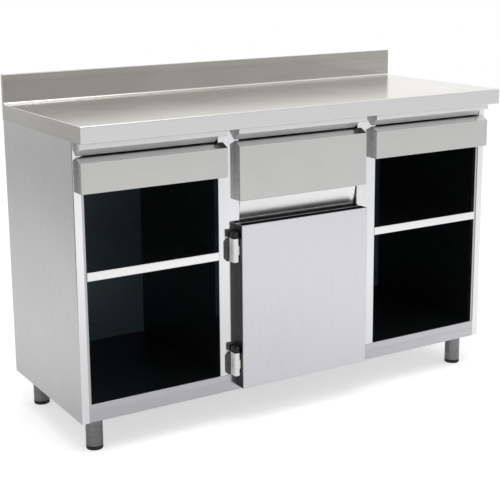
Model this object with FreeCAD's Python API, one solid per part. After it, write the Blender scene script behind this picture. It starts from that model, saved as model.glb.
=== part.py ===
import FreeCAD, Part
import math
import os

os.makedirs("parts", exist_ok=True)
V = FreeCAD.Vector

# Stainless steel service counter: three equal bays under one folded worktop.
# Millimetres. X runs along the counter (left end -X), Y from front (-Y) to wall (+Y), Z up.
# The origin is on the floor, under the middle of the worktop.

# ---- driving dimensions: the whole counter ----
overall_length = 1500.0
overall_depth = 600.0
worktop_height = 972.0          # floor to the top of the worktop
splashback_height = 92.0        # above the worktop
splashback_thickness = 14.0
worktop_edge = 49.0             # depth of the folded front and end edges
worktop_return = 16.0           # inward fold under the front and end edges
worktop_bend = 4.0              # outside radius of the front fold
splashback_bend = 8.0           # inside radius where the splashback rises
front_overhang = 65.0           # worktop front to the frame plane
rear_inset = 2.0                # splashback back face to the cabinet back
board_thickness = 16.0          # board glued under the steel top
board_margin = 4.0
stiffener_width = 60.0
stiffener_flange = 18.0
stiffener_front_inset = 130.0   # worktop front to the first stiffener's middle
stiffener_rear_inset = 60.0     # worktop back to the last stiffener's middle

sheet = 1.5                     # structural sheet
thin_sheet = 1.2                # linings, trays and bins
bend = 2.5                      # outside radius of an ordinary fold

# ---- driving dimensions: frame ----
leg_clearance = 104.0           # floor to the underside of the cabinet
base_height = 54.0              # bottom rail, to the compartment floor
end_post = 32.0                 # end post, outer face to opening
post_face = 24.0                # its proud outer strip
rebate_step = 2.5               # how far the inner strip of a post stands back
rebate_bend = 1.0
stile_width = 73.5              # upright between two bays
stile_depth = 25.0
post_return = 14.0              # inward fold at the back edge of a side panel
rail_channel = 30.0             # top frame channels, square
interior_depth = 520.0          # frame plane to the face of the back lining
drawer_rail_height = 12.0
drawer_rail_depth = 25.0
drawer_rail_drop = 6.0          # cross rail below the lower edge of a shallow front
drawer_rail_setback = 4.5
drawer_rail_gap = 2.0           # cross rail top to the drawer tray

# ---- driving dimensions: fronts ----
front_end_inset = 12.0          # cabinet end to the nearest front
front_gap = 39.0                # between neighbouring fronts
front_thickness = 28.0          # drawer fronts, proud of the frame plane
door_thickness = 37.0
front_standoff = 0.5            # fronts to the frame plane
grip_rail_height = 20.0         # plain strip under the worktop
grip_gap = 1.0                  # sloping flange to the drawer front's highest edge
grip_slope_depth = 28.0
grip_lip = 18.0                 # upturned back edge of the sloping flange
grip_notch = 30.0               # the sloping flange stops this far short of the rail's right end
grip_relief = 24.0              # so does all that lies behind the frame plane, at both ends
front_groove = 57.0             # worktop underside to the drawer's front top edge
front_top_slope = 13.0          # the drawer front's top rises this much towards the back
shallow_front_height = 88.0
tall_front_height = 165.0
front_flange = 14.0             # inward fold around the back of a front
door_groove = 72.0              # tall front to the top of the door
door_floor_gap = 13.0           # cabinet underside to the door's lower edge
door_side_clearance = 1.0
door_lip = 3.0                  # depth of the lip in front of the door's finger channel
door_channel_width = 29.0
door_channel_depth = 26.0
channel_wall = 1.5
edge_strip_thickness = 1.5      # dark strip on the door's hinge side
middle_rail_height = 90.0
middle_rail_lean = 15.0
middle_rail_depth = 26.0
middle_rail_gap = 3.0           # to the stile on each side
middle_rail_overlap = 12.0      # the panel reaches down this far behind the door
middle_rail_setback = 1.0
tall_tray_rise = 7.0            # middle panel's upper edge to the tall tray

# ---- driving dimensions: shelves ----
shelf_level = 548.5
shelf_edge = 26.0
shelf_return = 12.0
shelf_clearance = 0.4
bracket_size = 14.0
bracket_length = 32.0
bracket_thickness = 2.0
bracket_inset = 95.0            # bracket centre from the shelf's front or back

# ---- driving dimensions: drawers ----
runner_width = 12.7             # space taken on each side of a tray
runner_height = 45.0
runner_length = 450.0
runner_sheet = 1.5
runner_play = 0.4               # between nested members
runner_setback = 6.0            # behind the tray's front wall
runner_bend = 2.0
cabinet_lip_play = 1.0          # edge of a cabinet member to the drawer member's web
middle_lip_play = 0.5           # edge of a middle member to the same web
tray_length = 478.0
shallow_tray_height = 64.0
tall_tray_height = 136.0
tray_side_play = 0.3            # tray wall to its runner member
drawer_travel = 400.0

bin_width = 300.0
bin_length = 250.0
bin_height = 100.0
bin_rim = 10.0
bin_front_gap = 14.0
knock_bar_radius = 6.0
knock_sleeve_radius = 14.0
knock_sleeve_length = 210.0
knock_bar_drop = 20.0           # bar axis below the tray's rim
knock_bar_setback = 150.0       # bar axis behind the tray's front wall
knock_saddle_width = 20.0

# ---- driving dimensions: hinges ----
hinge_height = 72.0
hinge_middle = 28.0             # the door's knuckle
hinge_radius = 9.0              # half the width of the square knuckles
hinge_knuckle_corner = 5.0      # rounding that lets the moving leaf pass them
hinge_swing_room = 2.5          # knuckles to the moving leaf's plate
hinge_pin_radius = 4.0
hinge_running_fit = 0.05
hinge_gap = 0.5                 # between knuckles, and from a leaf to the strips above and below it
hinge_leaf = 3.5
hinge_plate_thickness = 4.0
hinge_plate_width = 36.0
hinge_plate_chamfer = 1.5
hinge_plate_corner = 10.0       # cut off the plate's two outer corners
hinge_axis_ahead = 20.0         # hinge axis in front of the frame plane
hinge_upper_drop = 76.0         # door top to the centre of the upper hinge
hinge_lower_rise = 79.0         # door bottom to the centre of the lower hinge
hinge_cap_height = 20.0

# ---- driving dimensions: catch, legs and feet ----
catch_width = 16.0
catch_depth = 14.0
catch_height = 46.0
catch_drop = 70.0               # door top to the centre of the catch
catch_gap = 0.3
strike_thickness = 1.5
catch_base_length = 39.0

leg_radius = 25.4
leg_wall = 1.5
leg_end_inset = 61.0
leg_frame_inset = 58.5
leg_flange_radius = 40.0
leg_flange_thickness = 3.0
leg_plate_thickness = 3.0
leg_plate_size = 118.0
leg_screw_radius = 3.0
leg_screw_circle = 32.5
leg_screw_head_radius = 5.5
leg_screw_head = 3.0
foot_height = 12.0
foot_gap = 0.3
foot_radius = 24.9
foot_plug_height = 12.0
foot_plug_clearance = 0.35
foot_stud_radius = 5.0
foot_stud_length = 62.0

edge_match = 1e-4               # how closely an edge's place must agree to be picked

# ---- what follows from them ----
half_length = overall_length / 2
front_y = -overall_depth / 2
back_y = overall_depth / 2
frame_y = front_y + front_overhang
cabinet_back = back_y - rear_inset
underside = worktop_height - worktop_edge
base_top = leg_clearance + base_height
front_width = (overall_length - 2 * front_end_inset - 2 * front_gap) / 3
bay_pitch = front_width + front_gap
stile_half = stile_width / 2
stile_x = overall_length / 6 + (end_post - post_face) / 2
lining_back = frame_y + interior_depth
front_back = frame_y - front_standoff
front_face = frame_y - front_thickness
door_face = frame_y - door_thickness
front_top = underside - front_groove
shallow_bottom = front_top - shallow_front_height
tall_bottom = front_top - tall_front_height
door_top = tall_bottom - door_groove
door_bottom = leg_clearance + door_floor_gap
door_half = front_width / 2 - door_side_clearance
channel_top = underside
channel_bottom = underside - rail_channel
drawer_rail_bottom = shallow_bottom - drawer_rail_drop
shallow_tray_bottom = drawer_rail_bottom + drawer_rail_height + drawer_rail_gap
middle_rail_bottom = door_top - middle_rail_overlap
middle_rail_top = middle_rail_bottom + middle_rail_height
tall_tray_bottom = middle_rail_top + tall_tray_rise


# ---- helpers ----
def box(x0, x1, y0, y1, z0, z1):
    return Part.makeBox(x1 - x0, y1 - y0, z1 - z0, V(x0, y0, z0))


def rod(radius, x, y, z0, z1):
    return Part.makeCylinder(radius, z1 - z0, V(x, y, z0))


def rounded_wire(points, radii):
    """Closed outline through the points, each corner rounded with its own radius (0 is sharp)."""
    count = len(points)
    ends = []
    edges = []
    for i in range(count):
        corner = points[i]
        before = (points[i - 1] - corner).normalize()
        after = (points[(i + 1) % count] - corner).normalize()
        radius = radii[i]
        if radius <= 0:
            ends.append((corner, corner, None))
            continue
        half_angle = before.getAngle(after) / 2
        reach = radius / math.tan(half_angle)
        middle_line = (before + after).normalize()
        centre = corner + middle_line * (radius / math.sin(half_angle))
        ends.append((corner + before * reach, corner + after * reach, centre - middle_line * radius))
    for i in range(count):
        start, stop, middle = ends[i]
        if middle is not None:
            edges.append(Part.Arc(start, middle, stop).toShape())
        following = ends[(i + 1) % count][0]
        if (following - stop).Length > edge_match:
            edges.append(Part.LineSegment(stop, following).toShape())
    return Part.Wire(edges)


def prism(points, radii, direction):
    return Part.Face(rounded_wire(points, radii)).extrude(direction)


def offset_line(points, thickness):
    """The line that runs beside an open polyline at the given distance, on its left."""
    normals = []
    for a, b in zip(points, points[1:]):
        length = math.hypot(b[0] - a[0], b[1] - a[1])
        normals.append((-(b[1] - a[1]) / length, (b[0] - a[0]) / length))
    result = [(points[0][0] + normals[0][0] * thickness, points[0][1] + normals[0][1] * thickness)]
    for i in range(1, len(points) - 1):
        n, m = normals[i - 1], normals[i]
        scale = thickness / (1 + n[0] * m[0] + n[1] * m[1])
        result.append((points[i][0] + (n[0] + m[0]) * scale, points[i][1] + (n[1] + m[1]) * scale))
    last = normals[-1]
    result.append((points[-1][0] + last[0] * thickness, points[-1][1] + last[1] * thickness))
    return result


def folded_outline(points, thickness, outside_radii):
    """Outline and corner radii of a folded sheet that runs beside an open polyline.

    The material lies on the polyline's left, or on its right where the thickness is negative.
    The outside of every fold has the given radius, and the inside is smaller by the sheet.
    """
    near, far = [0.0], [0.0]
    if isinstance(outside_radii, float):
        outside_radii = [outside_radii] * (len(points) - 2)
    for a, b, c, outside in zip(points, points[1:], points[2:], outside_radii):
        turn = (b[0] - a[0]) * (c[1] - b[1]) - (b[1] - a[1]) * (c[0] - b[0])
        inside = outside - abs(thickness)
        polyline_is_outside = (turn > 0) == (thickness > 0)
        near.append(outside if polyline_is_outside else inside)
        far.append(inside if polyline_is_outside else outside)
    near.append(0.0)
    far.append(0.0)
    return points + offset_line(points, thickness)[::-1], near + far[::-1]


def folded_along_x(points, x0, x1, thickness=sheet, radii=bend):
    """Folded sheet with its (y, z) section carried from x0 to x1."""
    outline, corners = folded_outline(points, thickness, radii)
    return prism([V(x0, y, z) for y, z in outline], corners, V(x1 - x0, 0, 0))


def folded_along_z(points, z0, z1, thickness=sheet, radii=bend):
    """Folded sheet with its (x, y) section carried from z0 to z1."""
    outline, corners = folded_outline(points, thickness, radii)
    return prism([V(x, y, z0) for x, y in outline], corners, V(0, 0, z1 - z0))


def folded_along_y(points, y0, y1, thickness=sheet, radii=bend):
    """Folded sheet with its (x, z) section carried from y0 to y1."""
    outline, corners = folded_outline(points, thickness, radii)
    return prism([V(x, y0, z) for x, z in outline], corners, V(0, y1 - y0, 0))


def upright_block(x0, x1, y0, y1, z0, z1, radius):
    corners = [V(x0, y0, z0), V(x1, y0, z0), V(x1, y1, z0), V(x0, y1, z0)]
    return prism(corners, [radius] * 4, V(0, 0, z1 - z0))


def mirrored(shape):
    return shape.mirror(V(0, 0, 0), V(1, 0, 0))


def between(first, second, y0, y1, z0, z1):
    """Box between two X positions given in either order."""
    return box(min(first, second), max(first, second), y0, y1, z0, z1)


def fused(shapes):
    return shapes[0].multiFuse(shapes[1:]).removeSplitter()


def save(name, shapes):
    if not isinstance(shapes, list):
        shapes = [shapes]
    solids = [solid for shape in shapes for solid in shape.Solids]
    whole = solids[0] if len(solids) == 1 else Part.makeCompound(solids)
    whole.exportStep("parts/" + name + ".step")
    volume = sum(solid.Volume for solid in solids)
    bounds = whole.BoundBox
    print("%-30s solids %2d  volume %10.0f  x %7.1f %7.1f  y %7.1f %7.1f  z %6.1f %6.1f  valid %s" % (
        name, len(solids), volume, bounds.XMin, bounds.XMax, bounds.YMin, bounds.YMax,
        bounds.ZMin, bounds.ZMax, whole.isValid()))


# ---- worktop ----
def worktop():
    """One folded sheet: front edge, top, splashback and its hem, with welded end edges."""
    rise = back_y - splashback_thickness
    top = worktop_height
    crest = worktop_height + splashback_height
    path = [(front_y + worktop_return, underside), (front_y, underside), (front_y, top),
            (rise, top), (rise, crest), (back_y, crest), (back_y, underside),
            (back_y - worktop_return, underside)]
    radii = [bend, worktop_bend, splashback_bend + sheet, bend, bend, bend]
    x0 = -half_length
    skin = folded_along_x(path, x0, half_length, -sheet, radii)
    outline = [V(x0, front_y, underside), V(x0, front_y, top), V(x0, rise, top), V(x0, rise, crest),
               V(x0, back_y, crest), V(x0, back_y, underside)]
    left_end = prism(outline, [bend, worktop_bend, splashback_bend, bend, bend, bend], V(sheet, 0, 0))
    left_return = box(x0, x0 + worktop_return, front_y + sheet, back_y - sheet, underside, underside + sheet)
    ends = [left_end, left_return, mirrored(left_end), mirrored(left_return)]
    return fused([skin] + ends)


def worktop_board():
    margin = sheet + board_margin
    rise = back_y - splashback_thickness
    top = worktop_height - sheet
    return box(-half_length + margin, half_length - margin, front_y + margin, rise - board_margin,
               top - board_thickness, top)


def worktop_stiffeners():
    """Hat sections between the board and the frame, running the length of the counter."""
    low = underside + sheet
    high = worktop_height - sheet - board_thickness
    half = stiffener_width / 2
    inner = half - stiffener_flange
    reach = half_length - worktop_return - 2 * sheet
    first, last = front_y + stiffener_front_inset, back_y - stiffener_rear_inset
    hats = []
    for y in (first, (first + last) / 2, last):
        path = [(y - half, low), (y - inner, low), (y - inner, high), (y + inner, high),
                (y + inner, low), (y + half, low)]
        hats.append(folded_along_x(path, -reach, reach, -sheet))
    return hats


# ---- frame ----
def left_side_panel():
    """Outer wall, its front fold with the set-back inner strip, and the fold at the back."""
    x0 = -half_length
    step = frame_y + rebate_step
    path = [(x0 + end_post, step + post_return), (x0 + end_post, step), (x0 + post_face, step),
            (x0 + post_face, frame_y), (x0, frame_y), (x0, cabinet_back),
            (x0 + post_return, cabinet_back)]
    radii = [rebate_bend, rebate_bend, rebate_bend, bend, bend]
    panel = folded_along_z(path, leg_clearance, underside, -sheet, radii)
    room_for_tray = box(x0 + post_face, x0 + end_post, frame_y, step + post_return, leg_clearance, base_top)
    return panel.cut(room_for_tray)


def left_stile():
    """Upright between two bays: a channel with its web to the front."""
    x0, x1 = -stile_x - stile_half, -stile_x + stile_half
    deep = frame_y + stile_depth
    path = [(x1, deep), (x1, frame_y), (x0, frame_y), (x0, deep)]
    return folded_along_z(path, base_top, underside, -sheet, bend)


def back_panel():
    x = half_length - bend
    return box(-x, x, cabinet_back - sheet - sheet, cabinet_back - sheet, leg_clearance, underside)


def base_tray():
    """Floor of the cabinet, folded down at the front and back to make the bottom rails.

    The front rail stops between the end posts. Behind them the floor reaches the side panels.
    """
    x = half_length - post_face
    y1 = cabinet_back - 2 * sheet
    path = [(frame_y + worktop_return, leg_clearance), (frame_y, leg_clearance), (frame_y, base_top),
            (y1, base_top), (y1, leg_clearance), (y1 - worktop_return, leg_clearance)]
    tray = folded_along_x(path, -x, x, -sheet)
    left_wing = box(bend - half_length, -x, frame_y + rebate_step + post_return, y1 - bend,
                    base_top - sheet, base_top)
    return fused([tray, left_wing, mirrored(left_wing)])


def top_channels():
    """Front and rear channels under the worktop, open towards the inside of the cabinet."""
    x = half_length - end_post
    y_front = frame_y + stile_depth
    front = [(y_front + rail_channel, channel_top), (y_front, channel_top), (y_front, channel_bottom),
             (y_front + rail_channel, channel_bottom)]
    y_rear = cabinet_back - 2 * sheet
    rear = [(y_rear - rail_channel, channel_bottom), (y_rear, channel_bottom), (y_rear, channel_top),
            (y_rear - rail_channel, channel_top)]
    return [folded_along_x(front, -x, x, sheet), folded_along_x(rear, -x, x, sheet)]


def grip_rail(bay):
    """Plain strip under the worktop whose lower edge slopes back to leave room for the fingers.

    Its upper flange reaches back to the top channel. A welded ear closes its left end, and the
    sloping flange is notched at its right end. Both ends stand in front of the uprights.
    """
    centre = bay * bay_pitch
    face_z = underside - grip_rail_height
    slope_y = front_face + grip_slope_depth
    slope_z = front_top + front_top_slope + grip_gap
    channel_y = frame_y + stile_depth
    half = front_width / 2
    path = [(channel_y, underside), (front_face, underside), (front_face, face_z), (slope_y, slope_z),
            (slope_y, slope_z + grip_lip)]
    x0, x1 = centre - half, centre + half
    ear_outline = [V(x0, y, z) for y, z in path[1:4] + [(slope_y, underside)]]
    ear = prism(ear_outline, [bend, bend, bend, 0.0], V(sheet, 0, 0))
    rail = fused([folded_along_x(path, x0, x1, sheet), ear])
    low = slope_z - sheet
    high = underside + sheet
    rail = rail.cut(box(x0 - sheet, x0 + grip_relief, front_back, channel_y, low, high))
    rail = rail.cut(box(x1 - grip_relief, x1 + sheet, front_back, channel_y, low, high))
    return rail.cut(box(x1 - grip_notch, x1 + sheet, front_face + bend, channel_y, low, face_z + sheet))


def bay_walls(bay):
    """Inner faces of the bay's two walls."""
    inner = stile_x - stile_half
    outer = stile_x + stile_half
    end = half_length - end_post
    return {-1: (-end, -outer), 0: (-inner, inner), 1: (outer, end)}[bay]


def drawer_rail(bay):
    """Light cross rail under a shallow drawer."""
    x0, x1 = bay_walls(bay)
    y0 = frame_y + drawer_rail_setback
    low = drawer_rail_bottom
    path = [(y0 + drawer_rail_depth, low), (y0, low), (y0, low + drawer_rail_height)]
    return folded_along_x(path, x0, x1, -sheet)


def middle_rail():
    """Leaning panel between tall drawer and door, set between the stiles."""
    x0, x1 = bay_walls(0)
    y0 = frame_y + middle_rail_setback
    low, high = middle_rail_bottom, middle_rail_top
    lean = y0 + middle_rail_lean
    path = [(lean + middle_rail_depth, low), (lean, low), (y0, high), (y0 + middle_rail_depth, high)]
    panel = folded_along_x(path, x0 + middle_rail_gap, x1 - middle_rail_gap, -sheet)
    tabs = []
    for side in (-1, 1):
        tabs.append(between(side * (x1 - middle_rail_gap - sheet), side * x1, lean + bend,
                            lean + middle_rail_depth, low + sheet, high - sheet))
    return fused([panel] + tabs)


# ---- linings and shelves ----
def lining(bay, with_floor):
    """Flat panels that line a bay: two walls, the back and, in the open bays, the floor."""
    x0, x1 = bay_walls(bay)
    behind_stile = frame_y + stile_depth
    behind_post = frame_y + rebate_step + post_return
    top = channel_bottom
    floor = base_top + thin_sheet
    panels = [box(x0 - thin_sheet, x0, behind_post if bay < 0 else behind_stile, lining_back, base_top, top),
              box(x1, x1 + thin_sheet, behind_post if bay > 0 else behind_stile, lining_back, base_top, top),
              box(x0 - thin_sheet, x1 + thin_sheet, lining_back, lining_back + thin_sheet, base_top, top)]
    if with_floor:
        panels.append(box(x0, x1, frame_y + bend, lining_back, base_top, floor))
    return panels


def shelf(bay):
    x0, x1 = bay_walls(bay)
    low = shelf_level - shelf_edge
    y1 = lining_back - shelf_clearance
    path = [(frame_y + shelf_return, low), (frame_y, low), (frame_y, shelf_level), (y1, shelf_level),
            (y1, low)]
    return folded_along_x(path, x0 + shelf_clearance, x1 - shelf_clearance, -sheet)


def shelf_brackets():
    """Small angles screwed to the walls, two on each side of each shelf."""
    top = shelf_level - sheet
    angles = []
    for bay in (-1, 1):
        x0, x1 = bay_walls(bay)
        for y in (frame_y + bracket_inset, lining_back - bracket_inset):
            y0, y1 = y - bracket_length / 2, y + bracket_length / 2
            left = [(x0 + bracket_size, top), (x0, top), (x0, top - bracket_size)]
            right = [(x1, top - bracket_size), (x1, top), (x1 - bracket_size, top)]
            angles.append(folded_along_y(left, y0, y1, bracket_thickness))
            angles.append(folded_along_y(right, y0, y1, bracket_thickness))
    return angles


# ---- drawers ----
def front_profile(low, inset, back):
    """Side view of a drawer front, its top sloping down to the front edge."""
    slope = front_top_slope / (front_thickness - front_standoff)
    face = front_face + inset
    high = front_top + inset * slope - inset * math.hypot(1.0, slope)
    rear_high = high + (back - face) * slope
    return [(face, low + inset), (face, high), (back, rear_high), (back, low + inset)]


def drawer_front(centre, low, tray_half, tray_low, tray_high):
    """Folded pan, open at the back where the tray's front wall closes it."""
    half = front_width / 2
    outline = [V(centre - half, y, z) for y, z in front_profile(low, 0.0, front_back)]
    pan = prism(outline, [bend, bend, 0, 0], V(front_width, 0, 0))
    hollow = [V(centre - half + sheet, y, z) for y, z in front_profile(low, sheet, front_back - sheet)]
    pan = pan.cut(prism(hollow, [bend - sheet, bend - sheet, 0, 0], V(front_width - 2 * sheet, 0, 0)))
    window = box(centre - tray_half + front_flange, centre + tray_half - front_flange,
                 front_back - 2 * sheet, front_back + sheet,
                 tray_low + front_flange, tray_high - front_flange)
    pan = pan.cut(window)
    uprights = []
    for edge in pan.Edges:
        bounds = edge.BoundBox
        is_upright = bounds.XLength < edge_match and bounds.YLength < edge_match
        at_end = abs(abs(bounds.XMin - centre) - half) < edge_match
        at_face = abs(bounds.YMin - front_face) < edge_match
        if is_upright and at_end and at_face:
            uprights.append(edge)
    return pan.makeFillet(sheet, uprights)


def tray_half_width(bay):
    x0, x1 = bay_walls(bay)
    return (x1 - x0) / 2 - runner_width


def bay_centre(bay):
    x0, x1 = bay_walls(bay)
    return (x0 + x1) / 2


def open_tray(centre, half, y0, y1, low, high, thickness):
    """Tray with upright corners rounded, open at the top."""
    outer = upright_block(centre - half, centre + half, y0, y1, low, high, bend)
    inner = upright_block(centre - half + thickness, centre + half - thickness, y0 + thickness,
                          y1 - thickness, low + thickness, high + thickness, bend - thickness)
    return outer.cut(inner)


def drawer_tray(bay, low, height):
    return open_tray(bay_centre(bay), tray_half_width(bay), front_back, front_back + tray_length,
                     low, low + height, thin_sheet)


def runner_members(bay, low, height):
    """Cabinet, middle and drawer members of the two telescopic runners of one drawer."""
    x0, x1 = bay_walls(bay)
    centre = (x0 + x1) / 2
    z = low + height / 2
    y0 = front_back + runner_setback
    y1 = y0 + runner_length
    half_gap = (x1 - x0) / 2
    tray_half = half_gap - runner_width
    step = runner_sheet + runner_play
    cabinet, middle, inner = [], [], []
    for side in (-1, 1):
        wall = half_gap
        face = tray_half + runner_sheet + tray_side_play
        tall = runner_height / 2
        lip = face + cabinet_lip_play
        path = [(lip, z + tall), (wall, z + tall), (wall, z - tall), (lip, z - tall)]
        cabinet.append((side, path))
        tall -= step
        web = wall - step
        lip = face + middle_lip_play
        path = [(lip, z + tall), (web, z + tall), (web, z - tall), (lip, z - tall)]
        middle.append((side, path))
        tall -= step
        path = [(web - step, z + tall), (tray_half, z + tall), (tray_half, z - tall), (web - step, z - tall)]
        inner.append((side, path))
    result = []
    for members, turn in ((cabinet, 1), (middle, 1), (inner, -1)):
        shapes = []
        for side, path in members:
            placed = [(centre + side * x, height_z) for x, height_z in path]
            shapes.append(folded_along_y(placed, y0, y1, -side * turn * runner_sheet, runner_bend))
        result.append(shapes)
    return result


def grounds_bin():
    """Lift-out container for spent coffee, hanging in the tall drawer."""
    low = tall_tray_bottom + thin_sheet
    y0 = front_back + thin_sheet + bin_front_gap
    half = bin_width / 2
    body = open_tray(0.0, half, y0, y0 + bin_length, low, low + bin_height, thin_sheet)
    rim_outer = upright_block(-half - bin_rim, half + bin_rim, y0 - bin_rim, y0 + bin_length + bin_rim,
                              low + bin_height - thin_sheet, low + bin_height, bin_rim)
    rim_inner = upright_block(-half + thin_sheet, half - thin_sheet, y0 + thin_sheet,
                              y0 + bin_length - thin_sheet, low, low + bin_height + thin_sheet,
                              bend - thin_sheet)
    return fused([body, rim_outer.cut(rim_inner)])


def knock_axis():
    return front_back + knock_bar_setback, tall_tray_bottom + tall_tray_height - knock_bar_drop


def along_x(radius, half, y, z):
    return Part.makeCylinder(radius, 2 * half, V(-half, y, z), V(1, 0, 0))


def knock_bar():
    """Steel bar across the tall drawer, seated in a saddle on each tray wall."""
    y, z = knock_axis()
    wall = tray_half_width(0) - thin_sheet
    bar = along_x(knock_bar_radius, wall, y, z)
    saddles = []
    half = knock_saddle_width / 2
    for side in (-1, 1):
        saddles.append(between(side * (wall - 2 * thin_sheet), side * wall, y - half, y + half,
                               z - half, z + half))
    return fused([bar] + saddles)


def knock_bar_sleeve():
    y, z = knock_axis()
    half = knock_sleeve_length / 2
    sleeve = along_x(knock_sleeve_radius, half, y, z).cut(along_x(knock_bar_radius, half, y, z))
    return sleeve


# ---- door ----
def door_channel_box(grow):
    """Space of the finger channel along the door's top, grown by the given wall."""
    y0 = door_face + door_lip - grow
    y1 = door_face + door_lip + door_channel_width + grow
    half = door_half - sheet - channel_wall + grow
    return box(-half, half, y0, y1, door_top - door_channel_depth - grow, door_top + sheet)


def door_outer_panel():
    back = front_back
    outer = upright_block(-door_half, door_half, door_face, back, door_bottom, door_top, 0.0)
    front_edges = [edge for edge in outer.Edges if edge.BoundBox.YMax < door_face + edge_match]
    outer = outer.makeFillet(bend, front_edges)
    hollow = box(-door_half + sheet, door_half - sheet, door_face + sheet, back + sheet,
                 door_bottom + sheet, door_top - sheet)
    return outer.cut(hollow).cut(door_channel_box(channel_wall))


def door_grip_channel():
    """Dark moulded channel let into the door's top edge, open upwards for the fingers."""
    shell = door_channel_box(channel_wall).cut(door_channel_box(0.0))
    above = box(-door_half, door_half, door_face, front_back,
                door_top - channel_wall / 2, door_top + 2 * sheet)
    end_cap = door_edge(hinge_levels()[0] + hinge_height / 2 + hinge_gap, door_top)
    return [shell.cut(above), end_cap]


def door_edge(low, high):
    """Thin block on the door's hinge side between two levels."""
    return box(-door_half - edge_strip_thickness, -door_half, door_face + bend, front_back, low, high)


def door_edge_strip():
    """Dark strip on the door's hinge side, in two lengths that stop at the hinge leaves."""
    half = hinge_height / 2 + hinge_gap
    upper, lower = hinge_levels()
    return [door_edge(door_bottom + bend, lower - half), door_edge(lower + half, upper - half)]


def door_inner_panel():
    """Back of the door: a plate let into the pan, below the finger channel's floor."""
    x = door_half - sheet
    plate = box(-x, x, front_back - sheet, front_back, door_bottom + sheet, door_top - sheet)
    fold_y = door_face + sheet
    low_fold = box(-x, x, fold_y, front_back - sheet, door_bottom + sheet, door_bottom + 2 * sheet)
    side_fold = box(-x, -x + sheet, fold_y, front_back - sheet, door_bottom + 2 * sheet,
                    door_top - door_channel_depth - 2 * channel_wall)
    return fused([plate, low_fold, side_fold, mirrored(side_fold)])


def hinge_levels():
    return (door_top - hinge_upper_drop, door_bottom + hinge_lower_rise)


def hinge_axis():
    return -door_half - hinge_leaf - hinge_swing_room - hinge_radius, frame_y - hinge_axis_ahead


def knuckle(low, high):
    """Square block about the hinge axis with rounded corners."""
    x, y = hinge_axis()
    return upright_block(x - hinge_radius, x + hinge_radius, y - hinge_radius, y + hinge_radius,
                         low, high, hinge_knuckle_corner)


def hinge_plates():
    """Fixed leaves: a bevelled plate on the stile carrying the upper and lower knuckles."""
    x, y = hinge_axis()
    left, right = x + hinge_radius - hinge_plate_width, x + hinge_radius
    plate_face = frame_y - hinge_plate_thickness
    corner = hinge_plate_corner
    leaves = []
    for level in hinge_levels():
        z0, z1 = level - hinge_height / 2, level + hinge_height / 2
        gap_low, gap_high = level - hinge_middle / 2 - hinge_gap, level + hinge_middle / 2 + hinge_gap
        outline = [(right, z0), (right, z1), (left + corner, z1), (left, z1 - corner), (left, z0 + corner),
                   (left + corner, z0)]
        plate = prism([V(a, frame_y, b) for a, b in outline], [0] * 6, V(0, -hinge_plate_thickness, 0))
        rim = [edge for edge in plate.Edges
               if edge.BoundBox.YMax < plate_face + edge_match and edge.BoundBox.XMin < x]
        pieces = [plate.makeChamfer(hinge_plate_chamfer, rim)]
        for low, high in ((z0, gap_low), (gap_high, z1)):
            pieces.append(knuckle(low, high))
            pieces.append(box(x - hinge_radius, right, y, plate_face, low, high))
        leaves.append(fused(pieces).cut(rod(hinge_pin_radius, x, y, z0, z1)))
    return leaves


def hinge_pins():
    x, y = hinge_axis()
    half = hinge_height / 2
    return [rod(hinge_pin_radius, x, y, level - half, level + half) for level in hinge_levels()]


def hinge_leaves():
    """Moving leaves: the middle knuckle and the plate on the door's edge."""
    x, y = hinge_axis()
    leaves = []
    for level in hinge_levels():
        low, high = level - hinge_middle / 2, level + hinge_middle / 2
        web = box(x, -door_half - hinge_leaf + sheet, y - hinge_radius, y + hinge_radius / 2, low, high)
        plate = box(-door_half - hinge_leaf, -door_half, door_face + bend, front_back - hinge_plate_thickness,
                    level - hinge_height / 2, level + hinge_height / 2)
        leaf = fused([knuckle(low, high), web, plate])
        leaves.append(leaf.cut(rod(hinge_pin_radius + hinge_running_fit, x, y, low, high)))
    return leaves


def hinge_caps():
    """Dark caps on top of the knuckles, of the same section."""
    x, y = hinge_axis()
    caps = []
    for level in hinge_levels():
        low = level + hinge_height / 2
        high = low + hinge_cap_height
        neck = box(x - hinge_radius, x + hinge_radius, y, frame_y - hinge_plate_thickness, low, high)
        caps.append(fused([knuckle(low, high), neck]))
    return caps


def door_catch():
    """Magnet housing on the right wall, just behind the closed door."""
    x1 = bay_walls(0)[1]
    y0 = front_back + strike_thickness + catch_gap
    z = door_top - catch_drop
    y1 = y0 + catch_depth
    low, high = z - catch_height / 2, z + catch_height / 2
    block = box(x1 - catch_width, x1, y0, y1, low, high)
    base = box(x1 - sheet, x1, y1, y1 + catch_base_length, low, high)
    return fused([block, base])


def door_strike():
    x1 = bay_walls(0)[1]
    z = door_top - catch_drop
    half = catch_height / 2 - sheet
    return box(x1 - catch_width, x1 - 2 * sheet, front_back, front_back + strike_thickness,
               z - half, z + half)


# ---- legs and feet ----
def leg_places():
    x = half_length - leg_end_inset
    y_front = frame_y + leg_frame_inset
    y_rear = cabinet_back - leg_frame_inset
    return {"front_left": (-x, y_front), "front_right": (x, y_front),
            "rear_left": (-x, y_rear), "rear_right": (x, y_rear)}


def leg(x, y):
    """Round tube with a flange welded to its top."""
    low = foot_height + foot_gap
    tube = rod(leg_radius, x, y, low, leg_clearance).cut(rod(leg_radius - leg_wall, x, y, low, leg_clearance))
    flange = rod(leg_flange_radius, x, y, leg_clearance - leg_flange_thickness, leg_clearance)
    flange = flange.cut(rod(leg_radius - leg_wall, x, y, low, leg_clearance))
    for dx, dy in leg_screw_offsets():
        flange = flange.cut(rod(leg_screw_radius, x + dx, y + dy, low, leg_clearance))
    return fused([tube, flange])


def leg_screw_offsets():
    """Four places on a circle around the leg's axis, on its diagonals."""
    reach = leg_screw_circle * math.sqrt(0.5)
    return [(dx, dy) for dx in (-reach, reach) for dy in (-reach, reach)]


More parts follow.
